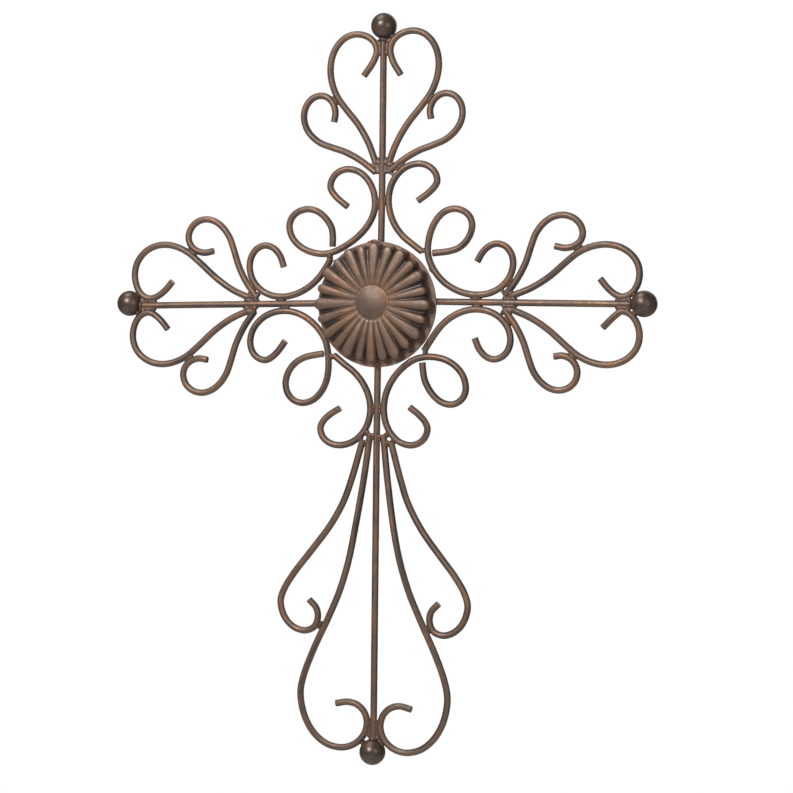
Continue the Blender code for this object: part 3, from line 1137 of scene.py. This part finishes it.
@dataclass
class Medallion:
    """A stamped sheet rose: a plain boss, long petals of two sizes, a steep wall and a flat rim."""

    finish: bpy.types.Material
    rim_radius: float = 0.0512
    rise: float = 0.0118
    sheet: float = 0.0012
    rim_drift: tuple[float, float] = (0.0006, -0.0011)
    rim_wear: float = 0.0002
    boss_radius: float = 0.0136
    boss_dome: float = 0.0017
    petal_root: float = 0.0149
    petal_turn: float = 0.0449
    wall_foot: float = 0.0484
    boss_level: float = 0.93
    full_reach: float = 0.026
    droop_start: float = 0.030
    droop_span: float = 0.014
    droop: float = 0.05
    groove_root: float = 0.0005
    groove_end: float = 0.0044
    petal_round: float = 0.0012
    petal_reach: float = 0.45
    petal_play: tuple[float, float, float] = (0.0005, 0.0005, 0.012)
    large: tuple[float, float, float, float] = (0.0, 0.0019, 0.0056, 0.0001)
    small: tuple[float, float, float, float] = (0.0010, 0.0017, 0.0048, 0.0008)
    lip: float = 0.0005
    dip_span: tuple[float, float] = (0.0013, 0.0040)
    smooth_angle: float = 60.0
    steps: int = 432
    large_angles: tuple[float, ...] = (88, 58, 28, -3, -35, -65, -92, -119, -148, 180, 148, 117)
    left_reach: float = 0.0022
    unevenness: float = 0.10
    wrinkle: float = 0.00028
    wrinkle_turns: float = 9.0
    wrinkle_grain: float = 0.0125
    boss_dark: float = 0.42
    chance: random.Random = field(default_factory=lambda: random.Random(41))

    def ridges(self) -> list[Ridge]:
        """The petals, large and small by turns.

        Returns:
            The ridges.
        """
        large = sorted(math.radians(angle % 360) for angle in self.large_angles)
        ridges = []
        for start, end in zip(large, [*large[1:], large[0] + math.tau]):
            ridges.append(self.petal(start, *self.large))
            ridges.append(self.petal((start + end) / 2, *self.small))
        return ridges

    def petal(
        self, angle: float, short: float, half_root: float, half_end: float, drop: float
    ) -> Ridge:
        """One petal, a little uneven in its width, length and height.

        Args:
            angle: Its direction.
            short: How much shorter it is than the longest ones.
            half_root: Half its width at the boss.
            half_end: Half its width at its end.
            drop: How far its end lies under the tops of the large petals.

        Returns:
            The petal.
        """
        end_play, drop_play, turn_play = self.petal_play
        wide = 1.0 + self.unevenness * self.chance.uniform(-1.0, 1.0)
        end = self.turn_at(angle) - short + end_play * self.chance.uniform(-1.0, 1.0)
        low = drop + drop_play * self.chance.uniform(0.0, 1.0)
        bent = angle + turn_play * self.chance.uniform(-1.0, 1.0)
        return Ridge(bent, end, half_root * wide, half_end * wide, low)

    def turn_at(self, angle: float) -> float:
        """Where the petals turn down, which is further out on the left."""
        return self.petal_turn + self.left_reach * max(0.0, -math.cos(angle)) ** 2

    def crest(self, reach: float) -> float:
        """Height of the tops of the petals at a distance from the middle."""
        rising = smooth_step(self.boss_radius, self.full_reach, reach)
        falling = max(0.0, (reach - self.droop_start) / self.droop_span) ** 2
        level = self.boss_level + (1.0 - self.boss_level) * rising
        return self.rise * (level - self.droop * falling)

    def boss(self, reach: float) -> float:
        """Height of the boss, a plain shallow dome."""
        share = min(1.0, reach / self.boss_radius)
        return self.rise * self.boss_level + self.boss_dome * (1.0 - share * share)

    def front(self, reach: float, angle: float, ridges: Sequence[Ridge]) -> tuple[float, float]:
        """Height of the front, and how deep that is in a hollow.

        Args:
            reach: Distance from the middle.
            angle: Direction from the middle.
            ridges: The petals.

        Returns:
            The height over the rim, and the depth of the hollow from 0 to 1.
        """
        if reach <= self.boss_radius:
            return self.boss(reach), self.boss_dark
        crest = self.crest(reach)
        out = min(1.0, (reach - self.petal_root) / (self.petal_turn - self.petal_root))
        out = max(0.0, out)
        groove = self.groove_root + self.groove_end * out**1.1
        turn_out = self.turn_at(angle)
        foot = self.wall_foot + 0.4 * (turn_out - self.petal_turn)
        wall = smooth_step(turn_out - 0.0016, foot, reach)
        floor = (crest - groove) * (1.0 - wall)
        height = floor
        for ridge in ridges:
            turn = (angle - ridge.angle + math.pi) % math.tau - math.pi
            if abs(turn) > self.petal_reach:
                continue
            half = ridge.half_root + (ridge.half_end - ridge.half_root) * out
            across = reach * math.sin(turn) / half
            past = max(0.0, reach * math.cos(turn) - ridge.end) / half
            beside = math.hypot(across, past)
            top = crest - ridge.drop * out - self.petal_round * out * beside * beside
            edge = smooth_step(0.60, 0.96 if past > 0.0 else 1.12, beside)
            height = max(height, top * (1.0 - edge) + floor * edge)
        round_about = Vector((math.cos(angle), math.sin(angle), 0.0)) * self.wrinkle_turns
        place = round_about + Vector((0.0, 0.0, reach / self.wrinkle_grain))
        height += self.wrinkle * out * (1.0 - wall) * noise.noise(place)
        start = smooth_step(self.boss_radius, self.petal_root + 0.0012, reach)
        lip = self.boss(self.boss_radius) - self.lip
        height = lip * (1.0 - start) + height * start
        inside = 1.0 - smooth_step(turn_out, turn_out + 0.0028, reach)
        dip = smooth_step(*self.dip_span, crest - height) * inside
        return height, dip

    def radii(self, fine: bool) -> list[float]:
        """Distances of the rings from the middle.

        Args:
            fine: Whether they are for the front, which has more of them.

        Returns:
            The distances, from the rim inward.
        """
        spans = (
            (self.rim_radius, 0.0500, 4),
            (0.0500, 0.0405, 27),
            (0.0405, 0.0180, 34),
            (0.0180, 0.0140, 10),
            (0.0140, 0.0, 9),
        )
        rings = [self.rim_radius]
        for outer, inner, count in spans:
            parts = count if fine else max(2, count // 2)
            rings += [outer + (inner - outer) * part / parts for part in range(1, parts + 1)]
        return rings

    def build(self) -> bpy.types.Object:
        """Models the medallion.

        Returns:
            The finished piece.
        """
        sheet = self.spun()
        self.press(sheet)
        select_only(sheet)
        bpy.ops.object.shade_smooth_by_angle(angle=math.radians(self.smooth_angle))
        sheet.data.materials.append(self.finish)
        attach(sheet, "root")
        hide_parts("medallion")
        LOG.info("medallion, %d faces", len(sheet.data.polygons))
        return sheet

    def spun(self) -> bpy.types.Object:
        """Spins a flat disc with two sides, whose rings will be pressed.

        Returns:
            The disc, its front at -1 and its back at +1 of its marker depth.
        """
        front = [Vector((reach, -MILLI, 0.0)) for reach in reversed(self.radii(True))]
        back = [Vector((reach, MILLI, 0.0)) for reach in self.radii(False)]
        bpy.ops.object.select_all(action="DESELECT")
        bpy.ops.mesh.primitive_plane_add(location=(0.0, 0.0, 0.0))
        sheet = bpy.context.object
        sheet.name = sheet.data.name = "medallion_rose"
        with editing(sheet):
            bpy.ops.mesh.merge(type="CENTER")
            bpy.ops.mesh.select_all(action="SELECT")
            bpy.ops.transform.translate(value=front[0])
            path = [*front, *back]
            for start, end in zip(path, path[1:]):
                bpy.ops.mesh.extrude_vertices_move(TRANSFORM_OT_translate={"value": end - start})
            bpy.ops.mesh.select_all(action="SELECT")
            bpy.ops.mesh.spin(
                steps=self.steps, angle=math.tau, center=(0.0, 0.0, 0.0), axis=(0.0, 1.0, 0.0)
            )
            bpy.ops.mesh.select_all(action="SELECT")
            bpy.ops.mesh.remove_doubles(threshold=SAME_PLACE)
            bpy.ops.mesh.normals_make_consistent(inside=False)
        return sheet

    def press(self, sheet: bpy.types.Object) -> None:
        """Presses the flat disc into the rose and moves it to its place.

        Args:
            sheet: The spun disc.
        """
        rim = self.rim_middle()
        base = rim.y - self.sheet
        ridges = self.ridges()
        dips: list[float] = []
        for point in sheet.data.vertices:
            reach = math.hypot(point.co.x, point.co.z)
            angle = math.atan2(point.co.z, point.co.x)
            behind = point.co.y > 0.0
            height, dip = self.front(reach, angle, ridges)
            if behind:
                inner = max(0.0, reach + self.sheet * 0.6 * self.wallness(reach))
                height = min(height, self.front(inner, angle, ridges)[0])
            drift = smooth_step(self.wall_foot, self.rim_radius, reach)
            depth = self.sheet if behind else 0.0
            wave = noise.noise(Vector((math.cos(angle), math.sin(angle), 0.3)) * 4.0)
            inset = 1.0 - self.rim_wear * drift * (1.0 + wave) / self.rim_radius
            point.co = (
                rim.x + point.co.x * inset + self.rim_drift[0] * (drift - 1.0),
                base - height + depth,
                rim.z + point.co.z * inset + self.rim_drift[1] * (drift - 1.0),
            )
            dips.append(0.0 if behind else dip)
        layer = sheet.data.attributes.new("dip", "FLOAT", "POINT")
        layer.data.foreach_set("value", dips)
        sheet.data.update()

    def rim_middle(self) -> Vector:
        """Middle of the rim, at the back of its sheet."""
        low, high = (Vector(corner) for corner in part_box("medallion"))
        return Vector(((low.x + high.x) / 2, high.y, (low.z + high.z) / 2))

    def wallness(self, reach: float) -> float:
        """How much of the sheet's thickness lies sideways, at the steep wall."""
        return smooth_step(0.040, 0.043, reach) * (1.0 - smooth_step(0.047, 0.049, reach))


# The whole cross


@dataclass
class WallCross:
    """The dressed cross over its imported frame."""

    nodes: dict[str, bpy.types.Object]
    plain: tuple[str, ...] = ("finial_", "medallion")
    bars: tuple[str, ...] = ("upright", "bar_left", "bar_right")
    top_bead: tuple[float, float] = (85.0, 99.0)

    def build(self) -> None:
        """Models and places every piece."""
        rod_steel = AgedSteel("aged_rod_steel", Wrap.ROD).material()
        weld_steel = AgedSteel(
            "aged_weld_steel",
            Wrap.OBJECT,
            brown=(0.085, 0.052, 0.037, 1.0),
            rust=(0.130, 0.066, 0.038, 1.0),
            streak_share=0.45,
            patch_grain=0.010,
        ).material()
        ball_steel = AgedSteel(
            "aged_ball_steel",
            Wrap.OBJECT,
            brown=(0.060, 0.040, 0.030, 1.0),
            rust=(0.100, 0.056, 0.036, 1.0),
            patina=(0.020, 0.017, 0.016, 1.0),
            patch_grain=0.009,
            streak_grain=0.003,
            streak_share=0.55,
            roughness=(0.30, 0.42),
        ).material()
        medallion_steel = AgedSteel(
            "aged_medallion_steel",
            Wrap.OBJECT,
            brown=(0.112, 0.067, 0.045, 1.0),
            rust=(0.150, 0.078, 0.044, 1.0),
            patina=(0.030, 0.028, 0.028, 1.0),
            patch_grain=0.018,
            streak_share=0.15,
            roughness=(0.42, 0.56),
            dip="dip",
        ).material()
        lines = [RodTracer().trace(self.nodes[name]) for name in self.rod_names()]
        for number, line in enumerate(lines):
            BentRod(line, rod_steel, seed=number).build()
        for arm in ARMS:
            Finial(arm, ball_steel).build()
        medallion = Medallion(medallion_steel)
        medallion.build()
        welder = Welder(lines)
        blobs = welder.seats() + welder.butts() + welder.root_fills(self.bars)
        for arm in ARMS:
            middle, radius = ball_place(arm)
            blobs += welder.collars(middle, radius) + welder.webs(middle)
        rim = medallion.rim_middle()
        blobs += welder.rim_seats(rim, medallion.rim_radius)
        blobs += welder.rim_bead(rim, medallion.rim_radius, *self.top_bead)
        WeldBeads("weld_beads", blobs, weld_steel).build()

    def rod_names(self) -> list[str]:
        """Names of the nodes that are rods, in order."""
        return sorted(name for name in self.nodes if not name.startswith(self.plain))


# Studio


@dataclass(frozen=True)
class Softbox:
    """One square soft light."""

    name: str
    place: tuple[float, float, float]
    size: float
    power: float

    def build(self, target: Vector) -> None:
        """Places the light and aims it.

        Args:
            target: Where it points.
        """
        bpy.ops.object.light_add(type="AREA", location=self.place)
        lamp = bpy.context.object
        lamp.name = lamp.data.name = self.name
        lamp.data.shape = "SQUARE"
        lamp.data.size = self.size
        lamp.data.energy = self.power
        aim = target - Vector(self.place)
        lamp.rotation_euler = aim.to_track_quat("-Z", "Y").to_euler()


@dataclass
class Studio:
    """Pale floor, soft light and the photograph's camera."""

    camera_place: tuple[float, float, float] = (0.82990, -2.25236, -0.28080)
    camera_turn: float = 20.0
    lens: float = 134.08
    sensor: float = 36.0
    sight: float = 50.0
    target: tuple[float, float, float] = (0.0, 0.0, -0.25)
    floor_height: float = -1.5
    floor_size: float = 6.0
    backdrop: Colour = (1.0, 1.0, 1.0, 1.0)
    ambient: Colour = (0.20, 0.20, 0.20, 1.0)
    lamps: tuple[Softbox, ...] = (
        Softbox("key_light", (-0.55, -2.35, 1.0), 1.0, 88.0),
        Softbox("fill_light", (1.9, -1.7, 0.1), 1.2, 16.0),
        Softbox("top_light", (-0.6, -0.3, 1.7), 1.0, 22.0),
        Softbox("wall_light", (0.0, 1.9, 0.6), 1.6, 14.0),
    )

    def build(self) -> None:
        """Sets up the whole studio."""
        self.add_camera()
        self.add_floor()
        self.add_world()
        for lamp in self.lamps:
            lamp.build(Vector(self.target))
        bpy.context.scene.view_settings.view_transform = "Standard"
        LOG.info("studio with %d lights", len(self.lamps))

    def add_camera(self) -> None:
        """Adds the camera at the photograph's viewing angle."""
        bpy.ops.object.camera_add(
            location=self.camera_place,
            rotation=(math.radians(90), 0.0, math.radians(self.camera_turn)),
        )
        camera = bpy.context.object
        camera.data.lens = self.lens
        camera.data.sensor_width = self.sensor
        camera.data.clip_end = self.sight
        bpy.context.scene.camera = camera

    def add_floor(self) -> None:
        """Adds the pale floor, well below the cross."""
        bpy.ops.mesh.primitive_plane_add(
            size=self.floor_size, location=(0.0, 0.0, self.floor_height)
        )
        floor = bpy.context.object
        floor.name = floor.data.name = "floor"
        floor.data.materials.append(PaleFloor().material())

    def add_world(self) -> None:
        """Adds a white backdrop that lights the cross only softly."""
        world = bpy.data.worlds.new("studio")
        bpy.context.scene.world = world
        world.use_nodes = True
        tree = world.node_tree
        tree.nodes.clear()
        rays = tree.nodes.new("ShaderNodeLightPath")
        colour = tree.nodes.new("ShaderNodeMix")
        colour.data_type = "RGBA"
        colour.inputs[6].default_value = self.ambient
        colour.inputs[7].default_value = self.backdrop
        glow = tree.nodes.new("ShaderNodeBackground")
        out = tree.nodes.new("ShaderNodeOutputWorld")
        tree.links.new(rays.outputs["Is Camera Ray"], colour.inputs[0])
        tree.links.new(colour.outputs[2], glow.inputs["Color"])
        tree.links.new(glow.outputs["Background"], out.inputs["Surface"])


def corners(box: Iterable[Iterable[float]]) -> list[list[float]]:
    """A box as plain lists of numbers."""
    return [list(corner) for corner in box]


def main() -> None:
    """Builds the dressed cross and its studio."""
    logging.basicConfig(level=logging.INFO, format="%(name)s: %(message)s")
    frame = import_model()
    WallCross(frame["nodes"]).build()
    Studio().build()


if __name__ == "__main__":
    main()
